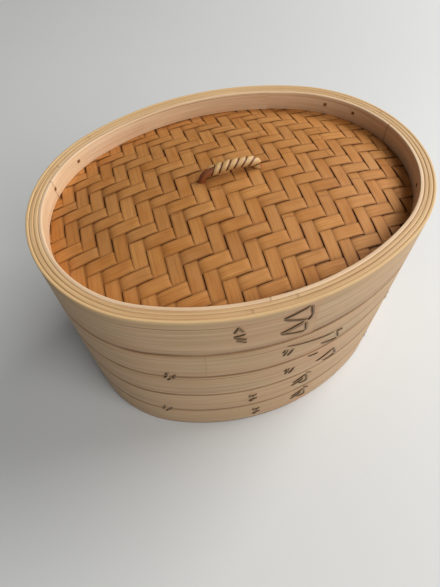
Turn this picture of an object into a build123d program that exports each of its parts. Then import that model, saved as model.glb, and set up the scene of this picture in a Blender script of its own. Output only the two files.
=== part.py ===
"""Two-tier bamboo steamer with a woven, bowed lid, in millimetres, +Z up.

The origin is on the ground at the middle of the lower tier, and the long side lies along X.
The plan is an oval of four tangent arcs, so hoops of any thickness nest face to face.
"""

from build123d import *
import os
from math import atan2, cos, degrees, hypot, radians, sin, sqrt

# Plan of the outermost face
half_length = 150.0
half_width = 114.0
end_radius = half_width * 17 / 19

# Hoops
band_thickness = 2.2
wall_thickness = 3.2
ring_thickness = 3.4
turn_thickness = 2.9

# Stack of the tiers and the lid
band_height = 36.6
seam = 0.4
step_height = 9.0
lift_clearance = 0.5
lid_height = 44.4
edge_round = 0.6

# Floor of a tier
ledge_height = 12.0
crossbar_width = 13.0
crossbar_height = 6.0
crossbar_spacing = 75.0
crossbar_count = 3
slat_width = 10.0
slat_thickness = 2.6
slat_spacing = 12.4
slat_end_clearance = 0.4
keeper_height = 8.0
notch_clearance = 0.15

# Split bamboo pegs, square in section
wall_peg = 2.4
wall_peg_height = 3.0
wall_peg_count = 12
floor_peg = 2.0
floor_peg_head = 0.5
floor_peg_depth = 4.0
rim_peg_drop = 7.0
rim_peg_head = 0.3
rim_peg_angles = (31, 47, 128, 149, 211, 227, 308, 329)

# Woven top of the lid and what carries it
weave_drop = 16.0
weave_thickness = 2.2
weave_rise = 17.0
bow_margin = 1.5
brim_overlap = 2.0
lining_thickness = 1.0
rib_width = 9.0
rib_thickness = 3.0
rib_offset = 48.0
rib_pocket = 3.5
rib_clearance = 0.4

# Handle on the lid
handle_x = -1.0
handle_y = 7.0
handle_radius = 2.8
handle_foot = 22.0
handle_shoulder = 19.5
handle_rise = 8.5
handle_crown = 2.5
handle_shoulder_bend = 6.0
handle_crown_bend = 40.0
handle_tail = 13.0
binding_thickness = 0.9
binding_start = 1.6
slit_clearance = 1.5
toggle_radius = 1.6
toggle_length = 26.0
toggle_clearance = 0.3

# Cane lashing on the bands
cane_width = 2.4
cane_thickness = 0.8
lashing_reach = 4.0
stitch_width = 1.8
stitch_spacing = 4.2
stitch_length = 8.5
stitch_lean = 35.0
lower_wedge_length = 20.0
upper_wedge_length = 30.0
wedge_depth = 16.0
lid_stitch_lift = 5.0
foot_stitch_height = 8.0

# Angle of the wall's outward normal where the cane lies, for the lower and the upper band of a
# tier in turn; the far side has the same cane half a turn on
lower_tier_stitches = (-96.0, -97.3)
lower_tier_lashings = (-84.2, -85.2)
lower_tier_seam_stitch = -119.0
upper_tier_stitches = (-89.4, -90.9)
upper_tier_lashings = (-79.8, -83.6)
upper_tier_seam_stitch = -115.6
foot_stitch = -47.0
lid_stitch = -101.5
lid_lashing = -91.0

# Worked out from the sizes above
side_radius = ((half_length - end_radius) ** 2 + half_width**2 - end_radius**2) / (
    2 * (half_width - end_radius)
)
end_centre = half_length - end_radius
side_centre = side_radius - half_width
joint_angle = atan2(side_centre, end_centre)
wall_inset = band_thickness
ring_inset = wall_inset + wall_thickness
ring_inner = ring_inset + ring_thickness
turn_inset = ring_inset + turn_thickness
lid_inner = turn_inset + turn_thickness
tier_pitch = 2 * (band_height + seam)
lid_base = 2 * tier_pitch
lid_top = lid_base + lid_height
weave_top = lid_top - weave_drop
lining_top = weave_top - weave_thickness
support_top = lining_top - lining_thickness
bow_length = half_length - lid_inner - bow_margin
bow_width = half_width - lid_inner - bow_margin
bow_radius = (bow_length**2 + weave_rise**2) / (2 * weave_rise)
handle_base = weave_top + weave_rise
handle_lean = (handle_foot - handle_shoulder) / (handle_rise - handle_crown)
slit_offset = handle_foot + handle_lean * (weave_thickness + lining_thickness) / 2
rib_edge = rib_offset + rib_width / 2


def write(piece, name):
    """Labels a finished piece and writes it under its node's name."""
    piece.part.label = name
    export_step(piece.part, f"parts/{name}.step")


def oval(inset):
    """The plan outline, moved inwards by inset."""
    x = end_centre + (end_radius - inset) * cos(joint_angle)
    y = (end_radius - inset) * sin(joint_angle)
    tip = half_length - inset
    flank = half_width - inset
    with BuildSketch() as plan:
        with BuildLine():
            ThreePointArc((x, -y), (tip, 0), (x, y))
            ThreePointArc((x, y), (0, flank), (-x, y))
            ThreePointArc((-x, y), (-tip, 0), (-x, -y))
            ThreePointArc((-x, -y), (0, -flank), (x, -y))
        make_face()
    return plan.sketch


def ring(outer, inner):
    """The plan of a hoop between two insets."""
    with BuildSketch() as plan:
        add(oval(outer))
        add(oval(inner), mode=Mode.SUBTRACT)
    return plan.sketch


def half_width_at(x, inset):
    """How far the outline, moved inwards by inset, reaches from the X axis at x."""
    radius = end_radius - inset
    if abs(x) > end_centre + radius * cos(joint_angle):
        return sqrt(radius**2 - (abs(x) - end_centre) ** 2)
    return sqrt((side_radius - inset) ** 2 - x**2) - side_centre


def wall_plane(angle, height, inset):
    """A plane on the wall where its outward normal has this angle: x goes round, y goes up."""
    out_x = cos(radians(angle))
    out_y = sin(radians(angle))
    if abs(out_y) > sin(joint_angle):
        centre_x = 0.0
        centre_y = -side_centre if out_y > 0 else side_centre
        radius = side_radius - inset
    else:
        centre_x = end_centre if out_x > 0 else -end_centre
        centre_y = 0.0
        radius = end_radius - inset
    origin = (centre_x + radius * out_x, centre_y + radius * out_y, height)
    return Plane(origin=origin, x_dir=(-out_y, out_x, 0), z_dir=(out_x, out_y, 0))


def wall_planes(angles, height, inset):
    """The same plane at several places round the wall."""
    return [wall_plane(angle, height, inset) for angle in angles]


def cane(runs, width):
    """Straight runs of cane with round ends, each given by its two end points."""
    with BuildSketch() as strands:
        for start, end in runs:
            run_x = end[0] - start[0]
            run_y = end[1] - start[1]
            turn = degrees(atan2(run_y, run_x))
            with Locations(((start[0] + end[0]) / 2, (start[1] + end[1]) / 2)):
                SlotCenterToCenter(hypot(run_x, run_y), width, rotation=turn)
    return strands.sketch


def short_stitches():
    """Short slanted stitches, one above the other."""
    rise = stitch_length / 2 * sin(radians(stitch_lean))
    reach = stitch_length / 2 * cos(radians(stitch_lean))
    heights = (-stitch_spacing, 0.0, stitch_spacing)
    return cane([((-reach, up - rise), (reach, up + rise)) for up in heights], stitch_width)


def wedge(length, depth):
    """A long wedge of cane with its tip to the left, tied down at its right end."""
    tip = (-length / 2, -depth / 4)
    top = (length / 2, depth / 2)
    heel = (length / 3, -depth / 3)
    return cane([(tip, top), (tip, heel), (heel, top)], cane_width)


def bow(distance):
    """How far the bowed top stands above its edge at a distance from the middle along X."""
    return sqrt(bow_radius**2 - distance**2) - (bow_radius - weave_rise)


def bow_profile(top, thickness):
    """Half of the section of a bowed sheet along X, its edge at a height."""
    low = top - thickness
    middle = bow_length / 2
    with BuildSketch(Plane.XZ) as section:
        with BuildLine():
            ThreePointArc((0, top + weave_rise), (middle, top + bow(middle)), (bow_length, top))
            Line((bow_length, top), (bow_length, low))
            ThreePointArc((bow_length, low), (middle, low + bow(middle)), (0, low + weave_rise))
            Line((0, low + weave_rise), (0, top + weave_rise))
        make_face()
    return section.sketch


def handle_line(start):
    """The handle's middle line, its two ends at a height from the top of the weave."""
    shoulder = handle_rise - handle_crown
    foot = handle_foot - handle_lean * start
    with BuildLine(Plane(origin=(0, handle_y, 0), x_dir=(1, 0, 0), z_dir=(0, -1, 0))):
        line = FilletPolyline(
            (handle_x - foot, handle_base + start),
            (handle_x - handle_shoulder, handle_base + shoulder),
            (handle_x, handle_base + handle_rise),
            (handle_x + handle_shoulder, handle_base + shoulder),
            (handle_x + foot, handle_base + start),
            radius=[handle_shoulder_bend, handle_crown_bend, handle_shoulder_bend],
        )
    return line


def both_sides(angle):
    """The same place on the near and on the far side of the wall."""
    return (angle, angle + 180)


def make_tier(name, base, stitch_angles, lashing_angles, seam_stitch):
    """Makes the nodes of one tier that stands at a height.

    The angles say where on the wall the cane lies: small stitches and large lashings, first on
    the lower and then on the upper band, and the stitches that tie both bands over the seam.
    """
    wall_base = base + step_height
    shelf = wall_base + ledge_height
    upper_base = base + band_height + seam
    peg_angles = [360 / wall_peg_count * (number + 0.5) for number in range(wall_peg_count)]
    peg_height = wall_base + wall_peg_height
    first_bar = -(crossbar_count - 1) / 2 * crossbar_spacing
    bars = [(first_bar + number * crossbar_spacing, 0) for number in range(crossbar_count)]
    row_limit = half_width - ring_inset - slat_end_clearance - slat_width / 2
    row_count = int(row_limit / slat_spacing)
    rows = [(0, number * slat_spacing) for number in range(-row_count, row_count + 1)]
    nail_spots = []
    for x, _ in bars:
        for _, y in rows:
            if abs(y) + slat_width / 2 < half_width_at(x, ring_inner):
                nail_spots.append((x, y))

    with BuildPart() as wall:
        with BuildSketch(Plane.XY.offset(wall_base)):
            add(ring(wall_inset, ring_inset))
        extrude(amount=tier_pitch)
        with BuildSketch(Plane.XY.offset(base + tier_pitch)):
            add(ring(wall_inset, wall_inset + lift_clearance))
        extrude(amount=step_height, mode=Mode.SUBTRACT)
        with BuildSketch(*wall_planes(peg_angles, peg_height, ring_inner)):
            Rectangle(wall_peg, wall_peg)
        extrude(amount=ring_inner, mode=Mode.SUBTRACT)
    write(wall, f"{name}_wall_hoop")

    for position, band_base in (("lower", base), ("upper", upper_base)):
        with BuildPart() as band:
            with BuildSketch(Plane.XY.offset(band_base)):
                add(ring(0.0, wall_inset))
            extrude(amount=band_height)
            fillet(band.faces().sort_by(Axis.Z)[-1].outer_wire().edges(), edge_round)
        write(band, f"{name}_{position}_band")

    with BuildPart() as ledge:
        with BuildSketch(Plane.XY.offset(wall_base)):
            add(ring(ring_inset, ring_inner))
        extrude(amount=ledge_height)
        with BuildSketch(Plane.XY.offset(shelf)):
            with Locations(bars):
                Rectangle(crossbar_width + 2 * notch_clearance, 2 * half_width)
        extrude(amount=-crossbar_height, mode=Mode.SUBTRACT)
        with BuildSketch(*wall_planes(peg_angles, peg_height, ring_inner + wall_peg)):
            Rectangle(wall_peg, wall_peg)
        extrude(amount=ring_inner, mode=Mode.SUBTRACT)
    write(ledge, f"{name}_ledge_ring")

    with BuildPart() as crossbars:
        with BuildSketch(Plane.XY.offset(shelf)):
            with Locations(bars):
                Rectangle(crossbar_width, 2 * half_width)
            add(oval(ring_inset), mode=Mode.INTERSECT)
        extrude(amount=-crossbar_height)
        with BuildSketch(Plane.XY.offset(shelf)):
            with Locations(nail_spots):
                Rectangle(floor_peg, floor_peg)
        extrude(amount=-floor_peg_depth, mode=Mode.SUBTRACT)
    write(crossbars, f"{name}_crossbars")

    with BuildPart() as slats:
        with BuildSketch(Plane.XY.offset(shelf)):
            with Locations(rows):
                Rectangle(2 * half_length, slat_width)
            add(oval(ring_inset + slat_end_clearance), mode=Mode.INTERSECT)
            with Locations(nail_spots):
                Rectangle(floor_peg, floor_peg, mode=Mode.SUBTRACT)
        extrude(amount=slat_thickness)
    write(slats, f"{name}_floor_slats")

    with BuildPart() as floor_pegs:
        with BuildSketch(Plane.XY.offset(shelf - floor_peg_depth)):
            with Locations(nail_spots):
                Rectangle(floor_peg, floor_peg)
        extrude(amount=floor_peg_depth + slat_thickness + floor_peg_head)
    write(floor_pegs, f"{name}_floor_pegs")

    with BuildPart() as keeper:
        with BuildSketch(Plane.XY.offset(shelf + slat_thickness)):
            add(ring(ring_inset, ring_inner))
        extrude(amount=keeper_height)
    write(keeper, f"{name}_keeper_ring")

    with BuildPart() as wall_pegs:
        with BuildSketch(*wall_planes(peg_angles, peg_height, ring_inner + wall_peg)):
            Rectangle(wall_peg, wall_peg)
        extrude(amount=ring_inner + wall_peg)
        with BuildSketch(Plane.XY.offset(wall_base)):
            add(ring(wall_inset, ring_inner))
        extrude(amount=ledge_height, mode=Mode.INTERSECT)
    write(wall_pegs, f"{name}_wall_pegs")

    lower_middle = base + band_height / 2
    upper_middle = upper_base + band_height / 2
    with BuildPart() as stitches:
        for angle, height in (
            (stitch_angles[0], lower_middle),
            (stitch_angles[1], upper_middle),
            (seam_stitch, upper_base),
            (foot_stitch, base + foot_stitch_height),
        ):
            with BuildSketch(*wall_planes(both_sides(angle), height, cane_thickness)):
                add(short_stitches())
            extrude(amount=lashing_reach)
        with BuildSketch(Plane.XY.offset(base)):
            add(ring(-cane_thickness, 0.0))
        extrude(amount=tier_pitch, mode=Mode.INTERSECT)
    write(stitches, f"{name}_stitches")

    with BuildPart() as lashings:
        for angle, height, length in (
            (lashing_angles[0], lower_middle, lower_wedge_length),
            (lashing_angles[1], upper_middle, upper_wedge_length),
        ):
            with BuildSketch(*wall_planes(both_sides(angle), height, cane_thickness)):
                add(wedge(length, wedge_depth))
            extrude(amount=lashing_reach)
        with BuildSketch(Plane.XY.offset(base)):
            add(ring(-cane_thickness, 0.0))
        extrude(amount=tier_pitch, mode=Mode.INTERSECT)
    write(lashings, f"{name}_lashings")


def make_lid_hoop(name, base, height, outer, inner, peg_planes):
    """Makes one hoop of the lid, with holes where the rim pegs pass."""
    with BuildPart() as hoop:
        with BuildSketch(Plane.XY.offset(base)):
            add(ring(outer, inner))
        extrude(amount=height)
        if peg_planes:
            with BuildSketch(*peg_planes):
                Rectangle(wall_peg, wall_peg)
            extrude(amount=lid_inner, mode=Mode.SUBTRACT)
    write(hoop, name)


def make_lid_rim():
    """Makes the hoops of the lid and the pegs through them."""
    wall_base = lid_base + step_height
    rib_reach = half_width_at(rib_edge, lid_inner - rib_pocket)
    pegs_at = wall_planes(rim_peg_angles, lid_top - rim_peg_drop, lid_inner + wall_peg)
    make_lid_hoop("lid_outer_hoop", lid_base, lid_height, 0.0, wall_inset, [])
    make_lid_hoop("lid_wall_hoop", wall_base, lid_top - wall_base, wall_inset, ring_inset, pegs_at)
    make_lid_hoop("lid_inner_hoop", weave_top, weave_drop, ring_inset, turn_inset, pegs_at)
    make_lid_hoop("lid_lining_hoop", weave_top, weave_drop, turn_inset, lid_inner, pegs_at)

    with BuildPart() as pegs:
        with BuildSketch(*pegs_at):
            Rectangle(wall_peg, wall_peg)
        extrude(amount=lid_inner)
        with BuildSketch(Plane.XY.offset(weave_top)):
            add(ring(wall_inset, lid_inner + rim_peg_head))
        extrude(amount=weave_drop, mode=Mode.INTERSECT)
    write(pegs, "lid_rim_pegs")

    with BuildPart() as support:
        with BuildSketch(Plane.XY.offset(wall_base)):
            add(ring(ring_inset, lid_inner))
        extrude(amount=support_top - wall_base)
        with BuildSketch(Plane.XY.offset(support_top)):
            with Locations((-rib_offset, 0), (rib_offset, 0)):
                Rectangle(rib_width + 2 * notch_clearance, 2 * rib_reach)
        extrude(amount=-rib_thickness, mode=Mode.SUBTRACT)
    write(support, "lid_support_hoop")


def make_bowed_sheet(name, top, thickness, below=None):
    """Makes a sheet of the lid: a round bow drawn in to an ellipse, a flat brim and two slits.

    The sheet is cut back where its brim meets the sheet below it.
    """
    slit = 2 * (handle_radius + slit_clearance)
    with BuildPart() as sheet:
        add(bow_profile(top, thickness))
        revolve(axis=Axis.Z)
        scale(by=(1, bow_width / bow_length, 1))
        with BuildSketch(Plane.XY.offset(top)):
            add(oval(ring_inset))
            Ellipse(bow_length - brim_overlap, bow_width - brim_overlap, mode=Mode.SUBTRACT)
        extrude(amount=-thickness)
        with BuildSketch(Plane.XY.offset(top)):
            with Locations((handle_x - slit_offset, handle_y), (handle_x + slit_offset, handle_y)):
                Rectangle(slit, slit)
        extrude(amount=2 * weave_rise, mode=Mode.SUBTRACT)
        if below:
            add(below, mode=Mode.SUBTRACT)
    write(sheet, name)
    return sheet.part


def make_lid_ribs():
    """Makes the two bent splints under the lining, their ends in pockets of the support hoop."""
    low = support_top - rib_thickness
    rib_reach = half_width_at(rib_edge, lid_inner - rib_pocket)
    seat_share = sqrt(1 - (rib_edge / (bow_length - brim_overlap)) ** 2)
    seat = (bow_width - brim_overlap) * seat_share
    crown = support_top + bow(rib_edge) - rib_clearance
    with BuildPart() as ribs:
        with BuildSketch(Plane.YZ.offset(-rib_edge)):
            with BuildLine():
                Line((-rib_reach, support_top), (-seat, support_top))
                ThreePointArc((-seat, support_top), (0, crown), (seat, support_top))
                Line((seat, support_top), (rib_reach, support_top))
                Line((rib_reach, support_top), (rib_reach, low))
                Line((rib_reach, low), (seat, low))
                ThreePointArc((seat, low), (0, crown - rib_thickness), (-seat, low))
                Line((-seat, low), (-rib_reach, low))
                Line((-rib_reach, low), (-rib_reach, support_top))
            make_face()
        extrude(amount=rib_width)
        mirror(about=Plane.YZ)
    write(ribs, "lid_ribs")


def make_handle():
    """Makes the cane arch, the binding round it and the pins that hold its ends."""
    toggle_span = (toggle_length / 2 + abs(handle_y)) * bow_length / bow_width
    bow_dip = weave_rise - bow(hypot(handle_foot + abs(handle_x), toggle_span))
    sheets = weave_thickness + lining_thickness
    toggle_drop = bow_dip + sheets + toggle_clearance + toggle_radius
    toggle_offset = handle_foot + handle_lean * toggle_drop
    arch_line = handle_line(-handle_tail)
    binding_line = handle_line(binding_start)
    with BuildPart() as toggles:
        with BuildSketch(Plane.XZ.offset(-handle_y)):
            with Locations(
                (handle_x - toggle_offset, handle_base - toggle_drop),
                (handle_x + toggle_offset, handle_base - toggle_drop),
            ):
                Circle(toggle_radius)
        extrude(amount=toggle_length / 2, both=True)
    write(toggles, "lid_toggles")

    with BuildPart() as arch:
        with BuildLine():
            add(arch_line)
        with BuildSketch(Plane(origin=arch_line @ 0, z_dir=arch_line % 0)):
            Circle(handle_radius)
        sweep()
        add(toggles.part, mode=Mode.SUBTRACT)
    write(arch, "lid_handle")

    with BuildPart() as binding:
        with BuildLine():
            add(binding_line)
        with BuildSketch(Plane(origin=binding_line @ 0, z_dir=binding_line % 0)):
            Circle(handle_radius + binding_thickness)
            Circle(handle_radius, mode=Mode.SUBTRACT)
        sweep()
    write(binding, "lid_handle_binding")


def make_lid_lashings():
    """Makes the cane that ties the lap of the lid's outer hoop, on both long sides."""
    middle = lid_base + lid_height / 2
    with BuildPart() as stitches:
        height = middle + lid_stitch_lift
        with BuildSketch(*wall_planes(both_sides(lid_stitch), height, cane_thickness)):
            add(short_stitches())
        extrude(amount=lashing_reach)
        with BuildSketch(Plane.XY.offset(lid_base)):
            add(ring(-cane_thickness, 0.0))
        extrude(amount=lid_height, mode=Mode.INTERSECT)
    write(stitches, "lid_stitches")

    with BuildPart() as lashings:
        for height in (middle - wedge_depth / 2, middle + wedge_depth / 2):
            with BuildSketch(*wall_planes(both_sides(lid_lashing), height, cane_thickness)):
                add(wedge(lower_wedge_length, wedge_depth))
            extrude(amount=lashing_reach)
        with BuildSketch(Plane.XY.offset(lid_base)):
            add(ring(-cane_thickness, 0.0))
        extrude(amount=lid_height, mode=Mode.INTERSECT)
    write(lashings, "lid_lashings")


os.makedirs("parts", exist_ok=True)
make_tier(
    "lower_tier", 0.0, lower_tier_stitches, lower_tier_lashings, lower_tier_seam_stitch
)
make_tier(
    "upper_tier", tier_pitch, upper_tier_stitches, upper_tier_lashings, upper_tier_seam_stitch
)
make_lid_rim()
lid_lining = make_bowed_sheet("lid_lining", lining_top, lining_thickness)
make_bowed_sheet("lid_weave", weave_top, weave_thickness, lid_lining)
make_lid_ribs()
make_handle()
make_lid_lashings()
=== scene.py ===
"""The looks of a two-tier oval bamboo steamer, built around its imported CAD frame, in metres."""

import math

import bpy
from mathutils import Matrix, Vector


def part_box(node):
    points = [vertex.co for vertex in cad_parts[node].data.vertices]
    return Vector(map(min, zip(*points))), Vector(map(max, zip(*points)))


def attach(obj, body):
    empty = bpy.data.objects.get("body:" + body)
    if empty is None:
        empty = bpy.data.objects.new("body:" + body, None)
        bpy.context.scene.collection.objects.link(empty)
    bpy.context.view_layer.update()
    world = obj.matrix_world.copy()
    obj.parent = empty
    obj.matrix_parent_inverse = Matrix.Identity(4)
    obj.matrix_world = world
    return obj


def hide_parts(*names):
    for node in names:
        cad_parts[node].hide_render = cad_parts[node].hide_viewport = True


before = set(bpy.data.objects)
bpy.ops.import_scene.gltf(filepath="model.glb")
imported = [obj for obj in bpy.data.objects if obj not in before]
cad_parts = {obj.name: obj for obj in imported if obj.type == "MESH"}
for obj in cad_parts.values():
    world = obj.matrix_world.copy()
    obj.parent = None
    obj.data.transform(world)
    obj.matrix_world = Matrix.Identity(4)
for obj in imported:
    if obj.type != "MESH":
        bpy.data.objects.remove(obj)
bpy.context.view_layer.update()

MM = 0.001

# Plan of the steamer: the outermost outline is an oval of four tangent arcs
HALF_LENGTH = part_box("lid_outer_hoop")[1].x
HALF_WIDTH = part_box("lid_outer_hoop")[1].y
END_RADIUS = 102.0 * MM
END_CENTRE = HALF_LENGTH - END_RADIUS
SIDE_RADIUS = (END_CENTRE**2 + HALF_WIDTH**2 - END_RADIUS**2) / (2 * (HALF_WIDTH - END_RADIUS))
SIDE_CENTRE = SIDE_RADIUS - HALF_WIDTH
JOINT = math.atan2(SIDE_CENTRE, END_CENTRE)

# How far each hoop's outer face lies inside that outline, and how thick the inner hoops are
WALL_INSET = HALF_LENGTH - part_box("lid_wall_hoop")[1].x
RING_INSET = HALF_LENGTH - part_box("lid_inner_hoop")[1].x
TURN_INSET = HALF_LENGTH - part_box("lid_lining_hoop")[1].x
LID_INNER = 2 * TURN_INSET - RING_INSET
TURN_THICKNESS = 2.9 * MM
KEEPER_THICKNESS = 3.4 * MM
BAND_SLACK = 0.25 * MM

# Woven top: its brim's height, the rise of its dome and half the depth of the two splint layers
LINING_THICKNESS = 1.0 * MM
WEAVE_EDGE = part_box("lid_inner_hoop")[0].z
WEAVE_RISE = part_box("lid_weave")[1].z - WEAVE_EDGE
WEAVE_HALF = (WEAVE_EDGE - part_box("lid_lining")[0].z - LINING_THICKNESS) / 2
WEAVE_INSET = RING_INSET + TURN_THICKNESS
ROW_PITCH = 10.4 * MM
ROW_OFFSET = 3.7 * MM
COLUMN_PITCH = 10.6 * MM
COLUMN_OFFSET = -0.5 * MM
LEAST_RISE = 1.0 * MM


# ---------------------------------------------------------------- node trees in plain sums


class Field:
    """A socket of a node tree that can stand in sums and products."""

    def __init__(self, tree, socket):
        self.tree = tree
        self.socket = socket

    def calc(self, operation, *others):
        return calc(self.tree, operation, self, *others)

    def __add__(self, other):
        return self.calc("ADD", other)

    def __sub__(self, other):
        return self.calc("SUBTRACT", other)

    def __rsub__(self, other):
        return calc(self.tree, "SUBTRACT", other, self)

    def __mul__(self, other):
        return self.calc("MULTIPLY", other)

    def __truediv__(self, other):
        return self.calc("DIVIDE", other)

    __radd__ = __add__
    __rmul__ = __mul__


def feed(tree, socket, value):
    """Links a field or a socket to an input, or writes a plain value into it."""
    if isinstance(value, Field):
        value = value.socket
    if isinstance(value, bpy.types.NodeSocket):
        tree.links.new(value, socket)
    else:
        socket.default_value = value


def node(tree, kind, inputs=(), **settings):
    """Adds a node with its settings and feeds its inputs, given by name or by number."""
    made = tree.nodes.new(kind)
    for name, value in settings.items():
        setattr(made, name, value)
    for key, value in dict(inputs).items():
        feed(tree, made.inputs[key], value)
    return made


def calc(tree, operation, *values):
    """A Math node as a field."""
    made = node(tree, "ShaderNodeMath", enumerate(values), operation=operation)
    return Field(tree, made.outputs[0])


def combine(tree, x, y, z):
    made = node(tree, "ShaderNodeCombineXYZ", {"X": x, "Y": y, "Z": z})
    return made.outputs[0]


def separate(tree, vector):
    made = node(tree, "ShaderNodeSeparateXYZ", {"Vector": vector})
    return [Field(tree, socket) for socket in made.outputs]


def here(tree):
    """The position of each point."""
    return node(tree, "GeometryNodeInputPosition").outputs[0]


def move(tree, geometry, **to):
    """Sets each point's Position, or adds an Offset to it."""
    return node(tree, "GeometryNodeSetPosition", {"Geometry": geometry, **to}).outputs[0]


def keep(tree, geometry, kind, **values):
    """Keeps fields of a curve for its swept mesh; returns the curve and each kept socket."""
    made = node(tree, "GeometryNodeCaptureAttribute", {"Geometry": geometry})
    for name, value in values.items():
        made.capture_items.new(kind, name)
        feed(tree, made.inputs[name], value)
    return made.outputs["Geometry"], *(made.outputs[name] for name in values)


def sweep(tree, curve, profile, **settings):
    """A closed tube of a profile along a curve."""
    inputs = {"Curve": curve, "Profile Curve": profile, "Fill Caps": True, **settings}
    return node(tree, "GeometryNodeCurveToMesh", inputs).outputs[0]


def chance_at(tree, x, y, z):
    """A number from 0 to 1 that looks random and is fixed for each place."""
    place = combine(tree, x, y, z)
    made = node(tree, "ShaderNodeTexWhiteNoise", {"Vector": place}, noise_dimensions="3D")
    return Field(tree, made.outputs["Value"])


def new_tree(name, kind, inputs, outputs):
    """A node group with named sockets; returns it with its inputs as fields and its output node."""
    tree = bpy.data.node_groups.new(name, kind)
    for label, socket_type, default in inputs:
        socket = tree.interface.new_socket(label, in_out="INPUT", socket_type=socket_type)
        if default is not None:
            socket.default_value = default
    for label, socket_type in outputs:
        tree.interface.new_socket(label, in_out="OUTPUT", socket_type=socket_type)
    entry = tree.nodes.new("NodeGroupInput")
    fields = {label: Field(tree, entry.outputs[label]) for label, _, _ in inputs}
    return tree, fields, tree.nodes.new("NodeGroupOutput")


def use_group(tree, group, inputs, kind="GeometryNodeGroup"):
    made = tree.nodes.new(kind)
    made.node_tree = group
    for key, value in inputs.items():
        feed(tree, made.inputs[key], value)
    return made


FLOAT = "NodeSocketFloat"
VECTOR = "NodeSocketVector"
GEOMETRY = "NodeSocketGeometry"
INTEGER = "NodeSocketInt"
MATERIAL = "NodeSocketMaterial"

# Kinds of kept field
FLOATS = "FLOAT"
VECTORS = "VECTOR"


# ---------------------------------------------------------------- the oval, as node groups


def make_wall_group():
    """From the angle of the wall's outward normal, an inset and a height to a point in space."""
    tree, given, out = new_tree(
        "Point on the wall",
        "GeometryNodeTree",
        [("Angle", FLOAT, 0.0), ("Inset", FLOAT, 0.0), ("Height", FLOAT, 0.0)],
        [("Position", VECTOR)],
    )
    out_x = given["Angle"].calc("COSINE")
    out_y = given["Angle"].calc("SINE")
    on_side = out_y.calc("ABSOLUTE").calc("GREATER_THAN", math.sin(JOINT))
    on_end = 1.0 - on_side
    radius = on_end * END_RADIUS + on_side * SIDE_RADIUS - given["Inset"]
    x = on_end * out_x.calc("SIGN") * END_CENTRE + radius * out_x
    y = radius * out_y - on_side * out_y.calc("SIGN") * SIDE_CENTRE
    feed(tree, out.inputs["Position"], combine(tree, x, y, given["Height"]))
    return tree


def make_nearest_wall_group():
    """From a point to its inset from the outline and the direction out through the wall."""
    tree, given, out = new_tree(
        "Inset of a point",
        "GeometryNodeTree",
        [("Position", VECTOR, None)],
        [("Inset", FLOAT), ("Outward", VECTOR)],
    )
    x, y, _ = separate(tree, given["Position"])
    past_end = x.calc("ABSOLUTE") - END_CENTRE
    tilt = past_end * math.sin(JOINT) - y.calc("ABSOLUTE") * math.cos(JOINT)
    on_end = tilt.calc("GREATER_THAN", 0.0)
    on_side = 1.0 - on_end
    centre_x = on_end * x.calc("SIGN") * END_CENTRE
    centre_y = on_side * y.calc("SIGN") * -SIDE_CENTRE
    away_x = x - centre_x
    away_y = y - centre_y
    distance = (away_x * away_x + away_y * away_y).calc("SQRT")
    radius = on_end * END_RADIUS + on_side * SIDE_RADIUS
    feed(tree, out.inputs["Inset"], radius - distance)
    outward = combine(tree, away_x / distance, away_y / distance, 0.0)
    feed(tree, out.inputs["Outward"], outward)
    return tree


def reach_along_x(y, inset):
    """Half the plan's length at a distance y from the X axis."""
    end = END_RADIUS - inset
    side = SIDE_RADIUS - inset
    height = y.calc("ABSOLUTE")
    on_end = height.calc("LESS_THAN", end * math.sin(JOINT))
    by_end = (end * end - height * height).calc("MAXIMUM", 0.0).calc("SQRT") + END_CENTRE
    past = height + SIDE_CENTRE
    by_side = (side * side - past * past).calc("MAXIMUM", 0.0).calc("SQRT")
    return on_end * by_end + (1.0 - on_end) * by_side


def reach_along_y(x, inset):
    """Half the plan's width at a distance x from the Y axis."""
    end = END_RADIUS - inset
    side = SIDE_RADIUS - inset
    length = x.calc("ABSOLUTE")
    past = length - END_CENTRE
    on_end = past.calc("GREATER_THAN", end * math.cos(JOINT))
    by_end = (end * end - past * past).calc("MAXIMUM", 0.0).calc("SQRT")
    by_side = (side * side - length * length).calc("MAXIMUM", 0.0).calc("SQRT") - SIDE_CENTRE
    return on_end * by_end + (1.0 - on_end) * by_side


def store(tree, geometry, name, value, kind="FLOAT_VECTOR"):
    """Stores a field on the points under a name that the materials read."""
    made = node(
        tree,
        "GeometryNodeStoreNamedAttribute",
        {"Geometry": geometry, "Name": name},
        data_type=kind,
        domain="POINT",
    )
    feed(tree, next(s for s in made.inputs if s.name == "Value" and s.enabled), value)
    return made.outputs["Geometry"]


def noise(tree, vector, scale, detail=2.0, roughness=0.5):
    """A Noise node's value as a field from about 0 to 1."""
    inputs = {"Vector": vector, "Scale": scale, "Detail": detail, "Roughness": roughness}
    made = node(tree, "ShaderNodeTexNoise", inputs)
    return Field(tree, made.outputs[0])


def turn_faces(tree, geometry):
    """Turns the faces of a mirrored shape outwards again."""
    return node(tree, "GeometryNodeFlipFaces", {"Mesh": geometry}).outputs[0]


def finish_tree(tree, out, geometry, material):
    """Ends a tree with real geometry and its material."""
    real = node(tree, "GeometryNodeRealizeInstances", {"Geometry": geometry})
    made = node(
        tree, "GeometryNodeSetMaterial", {"Geometry": real.outputs[0], "Material": material}
    )
    feed(tree, out.inputs["Geometry"], made.outputs[0])


# ---------------------------------------------------------------- a hoop bent from one strip


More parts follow.
